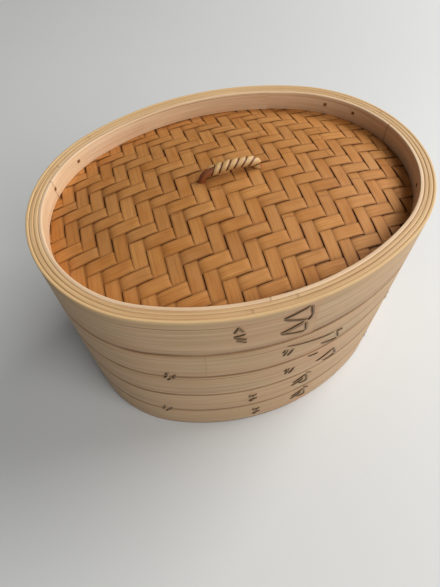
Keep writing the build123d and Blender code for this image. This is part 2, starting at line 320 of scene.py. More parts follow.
def make_hoop_tree(wall_point):
    """A strip bent round the oval, its two ends thinned and lapped over each other."""
    tree, given, out = new_tree(
        "Bent hoop",
        "GeometryNodeTree",
        [
            ("Stations", INTEGER, 260),
            ("Low", FLOAT, 0.0),
            ("High", FLOAT, 0.04),
            ("Inset", FLOAT, 0.0),
            ("Thickness", FLOAT, 0.003),
            ("Edge Round", FLOAT, 0.0006),
            ("Lap Angle", FLOAT, 0.0),
            ("Lap Turn", FLOAT, 0.2),
            ("Lap Step", FLOAT, 0.0005),
            ("Unevenness", FLOAT, 0.0004),
            ("Slack", FLOAT, 0.0),
            ("Seed", FLOAT, 0.0),
            ("Material", MATERIAL, None),
        ],
        [("Geometry", GEOMETRY)],
    )
    height = given["High"] - given["Low"]
    section = node(
        tree,
        "GeometryNodeCurvePrimitiveQuadrilateral",
        {"Width": given["Thickness"], "Height": height},
    )
    rounded = node(
        tree,
        "GeometryNodeFilletCurve",
        {"Curve": section.outputs[0], "Radius": given["Edge Round"], "Count": 3},
        mode="POLY",
    )
    path = node(
        tree,
        "GeometryNodeMeshLine",
        {"Count": given["Stations"], "Start Location": (0, 0, 0), "Offset": (0.001, 0, 0)},
    )
    index = Field(tree, node(tree, "GeometryNodeInputIndex").outputs[0])
    along = index / (given["Stations"] - 1.0)
    whole_turn = given["Lap Turn"] + 2 * math.pi
    angle = given["Lap Angle"] + along * whole_turn
    on_wall = use_group(
        tree, wall_point, {"Angle": angle, "Inset": given["Inset"], "Height": given["Low"]}
    )
    laid = move(tree, path.outputs[0], Position=on_wall.outputs[0])
    curve = node(tree, "GeometryNodeMeshToCurve", {"Mesh": laid})
    length = node(tree, "GeometryNodeSplineParameter").outputs["Length"]
    kept_path, far_along, far = keep(tree, curve.outputs[0], FLOATS, Along=along, Length=length)
    kept_section, place = keep(tree, rounded.outputs[0], VECTORS, Place=here(tree))
    swept = sweep(tree, kept_path, kept_section)
    across, up, _ = separate(tree, place)
    far_along = Field(tree, far_along)
    far = Field(tree, far)
    # Depth of a point in the strip, from 0 on its outer face to the thickness on its inner face
    depth = across + given["Thickness"] * 0.5
    level = up + height * 0.5
    lap_share = given["Lap Turn"] / whole_turn
    start_lap = (far_along / lap_share).calc("MINIMUM", 1.0)
    end_lap = ((1.0 - far_along) / lap_share).calc("MINIMUM", 1.0)
    depth_share = depth / given["Thickness"]
    # The strip's start is thinned from outside and its end from inside, and the end overlies it
    outer_cut = (1.0 - start_lap) * (given["Thickness"] - given["Lap Step"])
    inner_cut = (1.0 - end_lap) * (given["Thickness"] - given["Lap Step"])
    thinned = outer_cut + depth_share * (given["Thickness"] - outer_cut - inner_cut)
    # Long, slow waves of the upper edge and of the strip's distance from the outline
    place = combine(tree, far * 9.0, given["Seed"] * 7.0, 0.0)
    rises = level.calc("GREATER_THAN", height * 0.5)
    lift = (noise(tree, place, 2.3) - 0.5) * given["Unevenness"] * 2.0
    slack = (noise(tree, combine(tree, far * 7.0, given["Seed"], 4.0), 1.0) - 0.5) * 2.0
    inset = given["Inset"] + thinned + slack * given["Slack"]
    bent = use_group(
        tree,
        wall_point,
        {
            "Angle": given["Lap Angle"] + far_along * whole_turn,
            "Inset": inset,
            "Height": given["Low"] + level - lift.calc("ABSOLUTE") * rises,
        },
    )
    shaped = move(tree, swept, Position=bent.outputs[0])
    grain = combine(tree, far + given["Seed"] * 1.7, depth + given["Seed"] * 0.013, level)
    marked = store(tree, shaped, "grain", grain)
    lap = (1.0 - start_lap) + (1.0 - end_lap)
    marked = store(tree, marked, "splint", combine(tree, level / height, 0.5, lap))
    finish_tree(tree, out, marked, given["Material"])
    return tree


# ---------------------------------------------------------------- splints in rows


def make_splint_tree(along):
    """Splints side by side that run along X or Y, over and under the ones that cross them."""
    tree, given, out = new_tree(
        f"Splints along {along}",
        "GeometryNodeTree",
        [
            ("Count", INTEGER, 21),
            ("Segments", INTEGER, 150),
            ("Pitch", FLOAT, 0.0107),
            ("Width", FLOAT, 0.0102),
            ("Thickness", FLOAT, 0.0009),
            ("Wave", FLOAT, 0.0006),
            ("Steepness", FLOAT, 2.2),
            ("Offset", FLOAT, 0.0),
            ("Lean", FLOAT, 0.0),
            ("Crossing Pitch", FLOAT, 0.0106),
            ("Crossing Lean", FLOAT, 0.0),
            ("Twill Shift", FLOAT, 0.0),
            ("Inset", FLOAT, 0.0083),
            ("Level", FLOAT, 0.0),
            ("Rise", FLOAT, 0.0),
            ("Crown", FLOAT, 0.0001),
            ("Sway", FLOAT, 0.0003),
            ("Seed", FLOAT, 0.0),
            ("Material", MATERIAL, None),
        ],
        [("Geometry", GEOMETRY)],
    )
    row = node(
        tree,
        "GeometryNodeMeshLine",
        {"Count": given["Count"], "Start Location": (0, 0, 0), "Offset": (0, 0, 0)},
    )
    index = Field(tree, node(tree, "GeometryNodeInputIndex").outputs[0])
    number = index - (given["Count"] - 1.0) * 0.5
    numbered = store(tree, row.outputs[0], "number", number, "FLOAT")
    blank = node(
        tree,
        "GeometryNodeMeshCube",
        {"Size": (2, 1, 1), "Vertices X": given["Segments"], "Vertices Y": 4, "Vertices Z": 2},
    )
    placed = node(
        tree,
        "GeometryNodeInstanceOnPoints",
        {"Points": numbered, "Instance": blank.outputs["Mesh"]},
    )
    real = node(tree, "GeometryNodeRealizeInstances", {"Geometry": placed.outputs[0]})
    named = node(
        tree, "GeometryNodeInputNamedAttribute", {"Name": "number"}, data_type="FLOAT"
    )
    number = Field(tree, named.outputs[0])
    unit_long, unit_wide, unit_thick = separate(tree, here(tree))

    def chance(offset):
        return chance_at(tree, number + given["Seed"] * 31.0, offset, 0.0)

    width = given["Width"] * (1.0 - chance(1.0) * 0.05)
    reach_of = reach_along_x if along == "X" else reach_along_y
    half_across = HALF_WIDTH if along == "X" else HALF_LENGTH
    limit = half_across - given["Inset"]
    straight = number * given["Pitch"] + given["Offset"]
    middle = straight + (chance(2.0) - 0.5) * given["Sway"]
    middle = middle.calc("MINIMUM", limit).calc("MAXIMUM", 0.0 - limit)
    rough_place = combine(tree, unit_long * 1.3, number * 3.1, given["Seed"])
    bend = (noise(tree, rough_place, 1.0) - 0.5) * given["Sway"] * 2.0
    lean = unit_long * reach_of(middle, given["Inset"]) * given["Lean"]
    across = middle + unit_wide * width + bend + lean
    across = across.calc("MINIMUM", limit).calc("MAXIMUM", 0.0 - limit)
    length_place = unit_long * reach_of(across, given["Inset"])
    crossing = (length_place - straight * given["Crossing Lean"]) / given["Crossing Pitch"]
    turn = crossing + number + given["Twill Shift"]
    side = 1.0 if along == "X" else -1.0
    swing = (turn * (math.pi / 2)).calc("COSINE") * given["Steepness"] * side
    over = swing.calc("MINIMUM", 1.0).calc("MAXIMUM", -1.0)
    if along == "X":
        x, y = length_place, across
    else:
        x, y = across, length_place
    bow_length = HALF_LENGTH - LID_INNER
    stretch = bow_length / (HALF_WIDTH - LID_INNER)
    bowed = given["Rise"].calc("GREATER_THAN", LEAST_RISE)
    rise = given["Rise"].calc("MAXIMUM", LEAST_RISE)
    bow_radius = (rise * rise + bow_length**2) / (rise * 2.0)
    far = x * x + y * y * stretch**2
    bow = (bow_radius * bow_radius - far).calc("SQRT") - (bow_radius - rise)
    crown = given["Crown"] * (1.0 - unit_wide * unit_wide * 4.0)
    lifts = given["Wave"] * over + unit_thick * given["Thickness"] + crown
    height = given["Level"] + bow.calc("MAXIMUM", 0.0) * bowed + lifts
    # The marks are stored on the straight splints, whose points still say where they are, and
    # each splint takes its fibres from another place of the pattern
    grain = combine(
        tree,
        length_place + number * 0.37,
        unit_wide * width + number * 0.013,
        unit_thick * given["Thickness"] + given["Seed"] * 0.11,
    )
    marked = store(tree, real.outputs[0], "grain", grain)
    float_number = (turn * 0.25 + 0.25).calc("FLOOR") + number * 17.0
    tone = chance(3.0) * 0.6 + chance_at(tree, float_number, given["Seed"], 5.0) * 0.4
    edge = unit_wide.calc("ABSOLUTE") * 2.0
    marked = store(tree, marked, "splint", combine(tree, edge, tone, over))
    shaped = move(tree, marked, Position=combine(tree, x, y, height))
    if along == "Y":
        # Laying the straight splints along Y mirrors them
        shaped = turn_faces(tree, shaped)
    finish_tree(tree, out, shaped, given["Material"])
    return tree


# ---------------------------------------------------------------- cane on the wall, and wound


def make_cane_tree(nearest_wall):
    """Flat cane along the edges of a mesh, bent to the wall, its ends sunk into the band."""
    tree, given, out = new_tree(
        "Cane on the wall",
        "GeometryNodeTree",
        [
            ("Geometry", GEOMETRY, None),
            ("Width", FLOAT, 0.0024),
            ("Thickness", FLOAT, 0.0009),
            ("Sink", FLOAT, 0.0012),
            ("Bulge", FLOAT, 0.0003),
            ("Seed", FLOAT, 0.0),
            ("Material", MATERIAL, None),
        ],
        [("Geometry", GEOMETRY)],
    )
    curve = node(tree, "GeometryNodeMeshToCurve", {"Mesh": given["Geometry"]})
    fine = node(tree, "GeometryNodeResampleCurve", {"Curve": curve.outputs[0], "Count": 16})
    wall = use_group(tree, nearest_wall, {"Position": here(tree)})
    spline = node(tree, "GeometryNodeSplineParameter")
    factor = Field(tree, spline.outputs["Factor"])
    swing = (factor * 2.0 - 1.0).calc("ABSOLUTE")
    dive = swing.calc("POWER", 9.0) * given["Sink"]
    arch = (1.0 - swing * swing) * given["Bulge"]
    push = Field(tree, wall.outputs["Inset"]) + given["Thickness"] * 0.35 + arch - dive
    scaled = node(
        tree,
        "ShaderNodeVectorMath",
        {0: wall.outputs["Outward"], "Scale": push},
        operation="SCALE",
    )
    laid = move(tree, fine.outputs[0], Offset=scaled.outputs[0])
    wall_after = use_group(tree, nearest_wall, {"Position": here(tree)})
    facing = node(
        tree,
        "GeometryNodeSetCurveNormal",
        {"Curve": laid, "Normal": wall_after.outputs["Outward"]},
        mode="FREE",
    )
    path, strand = keep(tree, facing.outputs[0], FLOATS, Length=spline.outputs["Length"])
    ring = node(
        tree, "GeometryNodeCurvePrimitiveCircle", {"Resolution": 10, "Radius": 0.5}, mode="RADIUS"
    )
    kept_ring, place = keep(tree, ring.outputs[0], VECTORS, Place=here(tree))
    section = combine(tree, given["Thickness"], given["Width"], 1.0)
    flat = node(tree, "GeometryNodeTransform", {"Geometry": kept_ring, "Scale": section})
    swept = sweep(tree, path, flat.outputs[0])
    place_x, place_y, _ = separate(tree, place)
    strand = Field(tree, strand)
    island = node(tree, "GeometryNodeInputMeshIsland")
    number = Field(tree, island.outputs["Island Index"])
    grain = combine(
        tree, strand + number * 0.31, place_y * given["Width"] + number * 0.017, place_x * 0.001
    )
    marked = store(tree, swept, "grain", grain)
    tone = chance_at(tree, number, given["Seed"], 1.0)
    edge = place_y.calc("ABSOLUTE") * 2.0
    marked = store(tree, marked, "splint", combine(tree, edge, tone, 0.0))
    finish_tree(tree, out, marked, given["Material"])
    return tree


def make_binding_tree():
    """A flat strip wound round a curve that lies in a plane square to Y."""
    tree, given, out = new_tree(
        "Wound strip",
        "GeometryNodeTree",
        [
            ("Geometry", GEOMETRY, None),
            ("Turns", FLOAT, 7.0),
            ("Segments", INTEGER, 180),
            ("Start", FLOAT, 0.006),
            ("Pitch", FLOAT, 0.0052),
            ("Width", FLOAT, 0.0051),
            ("Thickness", FLOAT, 0.0008),
            ("Radius", FLOAT, 0.0036),
            ("Crown", FLOAT, 0.0004),
            ("Slant", FLOAT, 0.0012),
            ("Seed", FLOAT, 0.0),
            ("Material", MATERIAL, None),
        ],
        [("Geometry", GEOMETRY)],
    )
    blank = node(
        tree,
        "GeometryNodeMeshCube",
        {"Size": (1, 1, 1), "Vertices X": given["Segments"], "Vertices Y": 5, "Vertices Z": 2},
    )
    unit_long, unit_wide, unit_thick = separate(tree, here(tree))
    turned = (unit_long + 0.5) * given["Turns"]
    angle = turned * (2 * math.pi)
    uneven = noise(tree, combine(tree, turned.calc("FLOOR"), given["Seed"], 0.0), 1.7)
    slant = (angle + 0.6).calc("SINE") * given["Slant"]
    distance = given["Start"] + turned * given["Pitch"] + unit_wide * given["Width"] + slant
    sample = node(
        tree,
        "GeometryNodeSampleCurve",
        {"Curves": given["Geometry"], "Length": distance},
        mode="LENGTH",
        use_all_curves=True,
    )
    sideways = node(
        tree,
        "ShaderNodeVectorMath",
        {0: sample.outputs["Tangent"], 1: (0, 1, 0)},
        operation="CROSS_PRODUCT",
    )
    crown = given["Crown"] * (1.0 - unit_wide * unit_wide * 4.0)
    radius = given["Radius"] + unit_thick * given["Thickness"] + crown + uneven * 0.0003
    cross_x, _, cross_z = separate(tree, sideways.outputs[0])
    at_x, at_y, at_z = separate(tree, sample.outputs["Position"])
    along_side = radius * angle.calc("COSINE")
    position = combine(
        tree,
        at_x + cross_x * along_side,
        at_y + radius * angle.calc("SINE"),
        at_z + cross_z * along_side,
    )
    grain = combine(tree, turned * 0.023, unit_wide * given["Width"], unit_thick * 0.001)
    marked = store(tree, blank.outputs["Mesh"], "grain", grain)
    splint = combine(tree, unit_wide.calc("ABSOLUTE") * 2.0, uneven, 0.0)
    marked = store(tree, marked, "splint", splint)
    shaped = move(tree, marked, Position=position)
    # Winding the straight strip turns it inside out
    finish_tree(tree, out, turn_faces(tree, shaped), given["Material"])
    return tree


def make_rod_tree():
    """A round cane along a curve, a little thicker and thinner along its length."""
    tree, given, out = new_tree(
        "Bent cane",
        "GeometryNodeTree",
        [
            ("Geometry", GEOMETRY, None),
            ("Radius", FLOAT, 0.0032),
            ("Unevenness", FLOAT, 0.0002),
            ("Seed", FLOAT, 0.0),
            ("Material", MATERIAL, None),
        ],
        [("Geometry", GEOMETRY)],
    )
    fine = node(
        tree,
        "GeometryNodeResampleCurve",
        {"Curve": given["Geometry"], "Length": 0.0012},
        mode="LENGTH",
    )
    length = Field(tree, node(tree, "GeometryNodeSplineParameter").outputs["Length"])
    path, strand = keep(tree, fine.outputs[0], FLOATS, Length=length)
    uneven = (noise(tree, combine(tree, length * 120.0, given["Seed"], 0.0), 1.0) - 0.5) * 2.0
    ring = node(
        tree, "GeometryNodeCurvePrimitiveCircle", {"Resolution": 20, "Radius": 1.0}, mode="RADIUS"
    )
    kept_ring, place = keep(tree, ring.outputs[0], VECTORS, Place=here(tree))
    swept = sweep(tree, path, kept_ring, Scale=given["Radius"] + uneven * given["Unevenness"])
    place_x, place_y, _ = separate(tree, place)
    grain = combine(tree, strand, place_x * given["Radius"], place_y * given["Radius"])
    marked = store(tree, swept, "grain", grain)
    marked = store(tree, marked, "splint", combine(tree, 0.0, 0.5, 0.0))
    finish_tree(tree, out, marked, given["Material"])
    return tree


# ---------------------------------------------------------------- finishes


def tint(red, green, blue):
    """A colour as a display shows it, from 0 to 255, turned into linear light."""
    shares = [value / 255 for value in (red, green, blue)]
    return (*(((share + 0.055) / 1.055) ** 2.4 for share in shares), 1.0)


def mix(tree, factor, first, second):
    """A colour between two colours."""
    made = tree.nodes.new("ShaderNodeMix")
    made.data_type = "RGBA"
    feed(tree, made.inputs[0], factor)
    feed(tree, made.inputs[6], first)
    feed(tree, made.inputs[7], second)
    return made.outputs[2]


def between(field, low, high):
    """0 below the low value, 1 above the high one, and straight between them."""
    return ((field - low) / (high - low)).calc("MAXIMUM", 0.0).calc("MINIMUM", 1.0)


def make_fibre_group():
    """Long fibres, broader streaks, rare dark lines and soft blotches along a strip."""
    tree, given, out = new_tree(
        "Bamboo fibres",
        "ShaderNodeTree",
        [
            ("Grain", VECTOR, None),
            ("Fibre Width", FLOAT, 0.0005),
            ("Fibre Length", FLOAT, 0.03),
        ],
        [("Fibres", FLOAT), ("Streaks", FLOAT), ("Lines", FLOAT), ("Blotches", FLOAT)],
    )
    along, depth, level = separate(tree, given["Grain"])

    def stretched(wider, longer):
        width = given["Fibre Width"] * wider
        return combine(
            tree, along / (given["Fibre Length"] * longer), depth / width, level / width
        )

    fibres = noise(tree, stretched(1.0, 1.0), 1.0, 3.0, 0.6)
    streaks = noise(tree, stretched(6.0, 3.0), 1.0, 3.0, 0.6)
    lines = noise(tree, stretched(2.2, 4.0), 1.0, 1.0)
    blotches = noise(tree, stretched(30.0, 1.0), 1.0, 2.0)
    feed(tree, out.inputs["Fibres"], fibres)
    feed(tree, out.inputs["Streaks"], between(streaks, 0.3, 0.7))
    feed(tree, out.inputs["Lines"], between(lines, 0.64, 0.76))
    feed(tree, out.inputs["Blotches"], between(blotches, 0.35, 0.65))
    return tree


def make_joint_group():
    """The dark joints of the bamboo stem, each a thin line across the fibres."""
    tree, given, out = new_tree(
        "Stem joints",
        "ShaderNodeTree",
        [("Grain", VECTOR, None), ("Spacing", FLOAT, 0.19), ("Width", FLOAT, 0.0012)],
        [("Joint", FLOAT), ("Swelling", FLOAT)],
    )
    along, depth, level = separate(tree, given["Grain"])
    waver = noise(tree, combine(tree, along * 3.0, depth * 200.0, level * 200.0), 1.0) - 0.5
    place = (along + waver * 0.002) / given["Spacing"]
    distance = (place.calc("FRACT") - 0.5).calc("ABSOLUTE") * given["Spacing"]
    feed(tree, out.inputs["Joint"], 1.0 - between(distance, 0.0, given["Width"]))
    feed(tree, out.inputs["Swelling"], 1.0 - between(distance, 0.0, given["Width"] * 5.0))
    return tree


def make_around_group():
    """From a point of a hoop to its place along, through and up the hoop."""
    tree, given, out = new_tree(
        "Around the oval", "ShaderNodeTree", [("Position", VECTOR, None)], [("Grain", VECTOR)]
    )
    x, y, z = separate(tree, given["Position"])
    stretch = HALF_LENGTH / HALF_WIDTH
    mean_radius = (HALF_LENGTH + HALF_WIDTH) / 2
    round_place = (y * stretch).calc("ARCTAN2", x) * mean_radius
    out_place = (x * x + y * y * stretch**2).calc("SQRT")
    feed(tree, out.inputs["Grain"], combine(tree, round_place, out_place, z))
    return tree


FIBRES = make_fibre_group()
JOINTS = make_joint_group()
AROUND = make_around_group()


def new_material(name):
    """An empty material with its shader."""
    material = bpy.data.materials.new(name)
    material.use_nodes = True
    tree = material.node_tree
    tree.nodes.clear()
    shader = tree.nodes.new("ShaderNodeBsdfPrincipled")
    out = tree.nodes.new("ShaderNodeOutputMaterial")
    feed(tree, out.inputs["Surface"], shader.outputs[0])
    return material, tree, shader


def strip_grain(tree):
    """The place along, through and across a strip, kept on the piece by its node tree."""
    return node(tree, "ShaderNodeAttribute", attribute_name="grain").outputs["Vector"]


def strip_marks(tree):
    """Three values kept on a strip: nearness to its edge or its level, its tone, its lap."""
    marks = node(tree, "ShaderNodeAttribute", attribute_name="splint").outputs["Vector"]
    return separate(tree, marks)


def solid_grain(tree, turn=(0, 0, 0)):
    """Object coordinates, turned so that X runs along the fibres."""
    place = node(tree, "ShaderNodeTexCoord").outputs["Object"]
    return node(tree, "ShaderNodeMapping", {"Vector": place, "Rotation": turn}).outputs[0]


def hoop_grain(tree):
    """Fibres that run round the oval."""
    place = node(tree, "ShaderNodeTexCoord").outputs["Object"]
    return use_group(tree, AROUND, {"Position": place}, "ShaderNodeGroup").outputs["Grain"]


def fibre_marks(tree, grain, width, length):
    """The four masks of the fibre group as fields."""
    inputs = {"Grain": grain, "Fibre Width": width, "Fibre Length": length}
    made = use_group(tree, FIBRES, inputs, "ShaderNodeGroup")
    return [Field(tree, made.outputs[name]) for name in ("Fibres", "Streaks", "Lines", "Blotches")]


def joint_marks(tree, grain, spacing):
    made = use_group(tree, JOINTS, {"Grain": grain, "Spacing": spacing}, "ShaderNodeGroup")
    return Field(tree, made.outputs["Joint"]), Field(tree, made.outputs["Swelling"])


def set_surface(tree, shader, colour, roughness, height, depth, gloss, strength=0.6):
    """Sets the gloss and links a colour, a roughness, and a height in depths as bump."""
    shader.inputs["Specular IOR Level"].default_value = gloss
    feed(tree, shader.inputs["Base Color"], colour)
    feed(tree, shader.inputs["Roughness"], roughness)
    bump = node(tree, "ShaderNodeBump", {"Height": height, "Distance": depth, "Strength": strength})
    feed(tree, shader.inputs["Normal"], bump.outputs[0])


def make_band_finish(name, top_edge_colour_and_shade):
    """Outer bands: pale, dry, streaked, with rare brown lines, and painted shade where bands meet.
    """
    material, tree, shader = new_material(name)
    grain = strip_grain(tree)
    level, _, lap = strip_marks(tree)
    fibres, streaks, lines, blotches = fibre_marks(tree, grain, 0.0005, 0.05)
    broad = fibre_marks(tree, grain, 0.0012, 0.09)[1]
    joint, swelling = joint_marks(tree, grain, 0.31)
    colour = mix(tree, streaks, tint(216, 190, 152), tint(184, 150, 108))
    colour = mix(tree, broad * 0.45, colour, tint(196, 168, 136))
    colour = mix(tree, between(fibres, 0.42, 0.72) * 0.35, colour, tint(150, 114, 74))
    colour = mix(tree, blotches * 0.28, colour, tint(208, 156, 122))
    colour = mix(tree, lines * 0.85, colour, tint(124, 74, 42))
    colour = mix(tree, lap * 0.25, colour, tint(205, 150, 112))
    # The top edge takes the given colour, which for the tier bands is painted shade at the seam
    # above; the foot gets uneven painted shade at the seam below.
    patchy = between(noise(tree, grain, 16.0, 2.0), 0.36, 0.58)
    rim = between(level, 0.95, 0.975)
    foot = 1.0 - between(level, 0.015, 0.075)
    colour = mix(tree, rim * 0.8, colour, top_edge_colour_and_shade)
    colour = mix(tree, foot * (patchy * 0.75 + 0.15), colour, tint(92, 50, 26))
    colour = mix(tree, joint * 0.22, colour, tint(150, 112, 74))
    rough = fibres * 0.2 + 0.5
    set_surface(tree, shader, colour, rough, fibres * 0.6 + swelling * 0.6, 0.0004, 0.3)
    return material


def make_hoop_finish(name, grain_of, spacing, pale, deep):
    """Inner hoops and walls: warmer than the bands, with the cut edge of the strips on top."""
    material, tree, shader = new_material(name)
    grain = grain_of(tree)
    fibres, streaks, lines, blotches = fibre_marks(tree, grain, 0.0004, 0.045)
    joint, swelling = joint_marks(tree, grain, spacing)
    colour = mix(tree, streaks, pale, deep)
    colour = mix(tree, between(fibres, 0.45, 0.75) * 0.4, colour, tint(170, 124, 76))
    colour = mix(tree, blotches * 0.2, colour, tint(190, 140, 90))
    colour = mix(tree, lines * 0.6, colour, tint(128, 82, 44))
    colour = mix(tree, joint * 0.5, colour, tint(142, 98, 58))
    rough = fibres * 0.2 + 0.44
    set_surface(tree, shader, colour, rough, fibres * 0.6 + swelling * 0.8, 0.0004, 0.4)
    return material


def make_splint_finish():
    """Splints of the woven top: honey brown, glossy skin, each with its own tone."""
    material, tree, shader = new_material("splint_bamboo")
    grain = strip_grain(tree)
    edge, tone, over = strip_marks(tree)
    fibres, streaks, lines, blotches = fibre_marks(tree, grain, 0.00028, 0.022)
    joint, swelling = joint_marks(tree, grain, 0.16)
    aged = between(noise(tree, grain, 9.0, 2.0), 0.4, 0.65)
    colour = mix(tree, between(tone, 0.1, 0.9), tint(212, 150, 84), tint(190, 124, 60))
    colour = mix(tree, streaks * 0.55, colour, tint(170, 108, 48))
    colour = mix(tree, between(fibres, 0.42, 0.68) * 0.5, colour, tint(142, 84, 34))
    colour = mix(tree, blotches * 0.3, colour, tint(216, 158, 98))
    colour = mix(tree, aged * 0.25, colour, tint(158, 112, 70))
    colour = mix(tree, lines * 0.4, colour, tint(120, 68, 28))
    # Painted shade at the ends of each float, where a splint dips under the one that crosses it.
    sunk_shade = 1.0 - between(over, -1.0, 0.4)
    colour = mix(tree, sunk_shade * 0.75, colour, tint(78, 42, 16))
    # Painted shade along both edges of each splint, in the gaps between splints, stronger where the
    # aged mask is.
    edge_shade = between(edge, 0.72, 1.0)
    colour = mix(tree, edge_shade * (aged * 0.45 + 0.4), colour, tint(104, 60, 26))
    colour = mix(tree, joint * 0.5, colour, tint(132, 82, 40))
    rough = fibres * 0.25 + 0.46
    set_surface(tree, shader, colour, rough, fibres * 0.5 + swelling, 0.0003, 0.16)
    return material


def make_lining_finish():
    """Fine splints of the lining: paler and matt."""
    material, tree, shader = new_material("lining_bamboo")
    grain = strip_grain(tree)
    edge, tone, _ = strip_marks(tree)
    fibres, streaks, lines, _ = fibre_marks(tree, grain, 0.00025, 0.02)
    colour = mix(tree, tone, tint(220, 190, 140), tint(196, 158, 104))
    colour = mix(tree, streaks * 0.3, colour, tint(178, 138, 88))
    colour = mix(tree, lines * 0.4, colour, tint(140, 96, 54))
    # Painted shade along both edges of each lining splint, in the gaps between them.
    colour = mix(tree, between(edge, 0.7, 1.0) * 0.4, colour, tint(150, 108, 64))
    set_surface(tree, shader, colour, fibres * 0.2 + 0.5, fibres, 0.0003, 0.35)
    return material


def make_slat_finish(name, grain_of):
    """Floor slats, bars and ribs: split bamboo with coarse fibres, streaks, blotches, dark lines and
    joints.
    """
    material, tree, shader = new_material(name)
    grain = grain_of(tree)
    fibres, streaks, lines, blotches = fibre_marks(tree, grain, 0.0005, 0.04)
    joint, swelling = joint_marks(tree, grain, 0.21)
    colour = mix(tree, streaks, tint(218, 186, 136), tint(192, 152, 100))
    colour = mix(tree, between(fibres, 0.42, 0.75) * 0.45, colour, tint(158, 116, 70))
    colour = mix(tree, blotches * 0.3, colour, tint(180, 136, 86))
    colour = mix(tree, lines * 0.5, colour, tint(126, 84, 46))
    colour = mix(tree, joint * 0.6, colour, tint(132, 92, 54))
    set_surface(tree, shader, colour, fibres * 0.2 + 0.5, fibres + swelling, 0.0005, 0.35)
    return material


def make_peg_finish():
    """Split pegs: their cut ends are dark, with the pores of the fibres."""
    material, tree, shader = new_material("peg_bamboo")
    place = node(tree, "ShaderNodeTexCoord").outputs["Object"]
    pores = node(tree, "ShaderNodeTexVoronoi", {"Vector": place, "Scale": 2600.0})
    pore = 1.0 - between(Field(tree, pores.outputs["Distance"]), 0.1, 0.35)
    rough_tone = noise(tree, place, 900.0, 3.0)
    colour = mix(tree, rough_tone, tint(150, 104, 60), tint(104, 66, 34))
    colour = mix(tree, pore * 0.6, colour, tint(58, 34, 18))
    set_surface(tree, shader, colour, rough_tone * 0.2 + 0.55, rough_tone - pore * 0.5, 0.0003, 0.3)
    return material


def make_cane_finish():
    """Stitches and lashings: weathered grey-brown cane."""
    material, tree, shader = new_material("cane")
    grain = strip_grain(tree)
    edge, tone, _ = strip_marks(tree)
    fibres, streaks, lines, _ = fibre_marks(tree, grain, 0.0002, 0.006)
    colour = mix(tree, tone, tint(176, 146, 108), tint(120, 90, 60))
    colour = mix(tree, streaks * 0.4, colour, tint(152, 122, 86))
    colour = mix(tree, lines * 0.6, colour, tint(70, 46, 28))
    # Painted shade and dirt along both edges of each cane strip.
    colour = mix(tree, between(edge, 0.45, 0.8) * 0.85, colour, tint(74, 52, 32))
    set_surface(tree, shader, colour, fibres * 0.2 + 0.42, fibres, 0.0002, 0.4)
    return material


def make_rod_finish():
    """The handle's bare cane: reddish brown and smooth."""
    material, tree, shader = new_material("handle_rod")
    grain = strip_grain(tree)
    fibres, streaks, lines, blotches = fibre_marks(tree, grain, 0.0003, 0.012)
    colour = mix(tree, streaks, tint(150, 80, 42), tint(112, 52, 28))
    colour = mix(tree, blotches * 0.4, colour, tint(176, 112, 62))
    colour = mix(tree, lines * 0.6, colour, tint(70, 30, 16))
    set_surface(tree, shader, colour, fibres * 0.2 + 0.3, fibres, 0.0002, 0.5)
    return material


def make_binding_finish():
    """The strip round the handle: pale straw, with painted shade at its edges where the turns meet.
    """
    material, tree, shader = new_material("handle_cane")
    grain = strip_grain(tree)
    edge, tone, _ = strip_marks(tree)
    fibres, streaks, lines, _ = fibre_marks(tree, grain, 0.00022, 0.01)
    colour = mix(tree, streaks, tint(226, 190, 132), tint(196, 152, 96))
    colour = mix(tree, tone * 0.4, colour, tint(208, 160, 104))
    colour = mix(tree, lines * 0.5, colour, tint(128, 82, 44))
    # Painted shade along the strip's edges, in the gaps between the turns.
    colour = mix(tree, between(edge, 0.72, 1.0) * 0.8, colour, tint(104, 62, 30))
    set_surface(tree, shader, colour, fibres * 0.2 + 0.34, fibres, 0.0002, 0.5)
    return material


def make_floor_finish():
    """A plain pale table top."""
    material, tree, shader = new_material("pale_table")
    place = node(tree, "ShaderNodeTexCoord").outputs["Object"]
    cloud = noise(tree, place, 2.0, 3.0)
    colour = mix(tree, cloud, tint(224, 225, 224), tint(216, 217, 216))
    set_surface(tree, shader, colour, cloud * 0.1 + 0.5, cloud, 0.0002, 0.5, 0.2)
    return material


# ---------------------------------------------------------------- pieces


def new_piece(name, tree, inputs, body, replaced, source=None):
    """Runs a node tree, keeps its result as a plain mesh and rides it on a body."""
    carrier = bpy.data.objects.new(f"{name}_source", source or bpy.data.meshes.new(name))
    bpy.context.scene.collection.objects.link(carrier)
    modifier = carrier.modifiers.new("Build", "NODES")
    modifier.node_group = tree
    for item in tree.interface.items_tree:
        if item.in_out == "INPUT" and item.name in inputs:
            modifier[item.identifier] = inputs[item.name]
    graph = bpy.context.evaluated_depsgraph_get()
    mesh = bpy.data.meshes.new_from_object(carrier.evaluated_get(graph), depsgraph=graph)
    bpy.data.objects.remove(carrier)
    mesh.name = name
    mesh.shade_smooth()
    mesh.set_sharp_from_angle(angle=math.radians(38))
    piece = bpy.data.objects.new(name, mesh)
    bpy.context.scene.collection.objects.link(piece)
    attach(piece, body)
    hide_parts(*replaced)


STRAW = tint(230, 196, 148)
DEEP_STRAW = tint(208, 167, 116)
# The tier bands' dark top edge is painted shade at the seam under the band or lid above.
BAND = make_band_finish("band_bamboo", tint(150, 108, 66))
LID_BAND = make_band_finish("lid_band_bamboo", tint(228, 190, 136))
HOOP = make_hoop_finish("hoop_bamboo", strip_grain, 0.27, STRAW, DEEP_STRAW)
WALL = make_hoop_finish("wall_bamboo", hoop_grain, 0.34, STRAW, DEEP_STRAW)
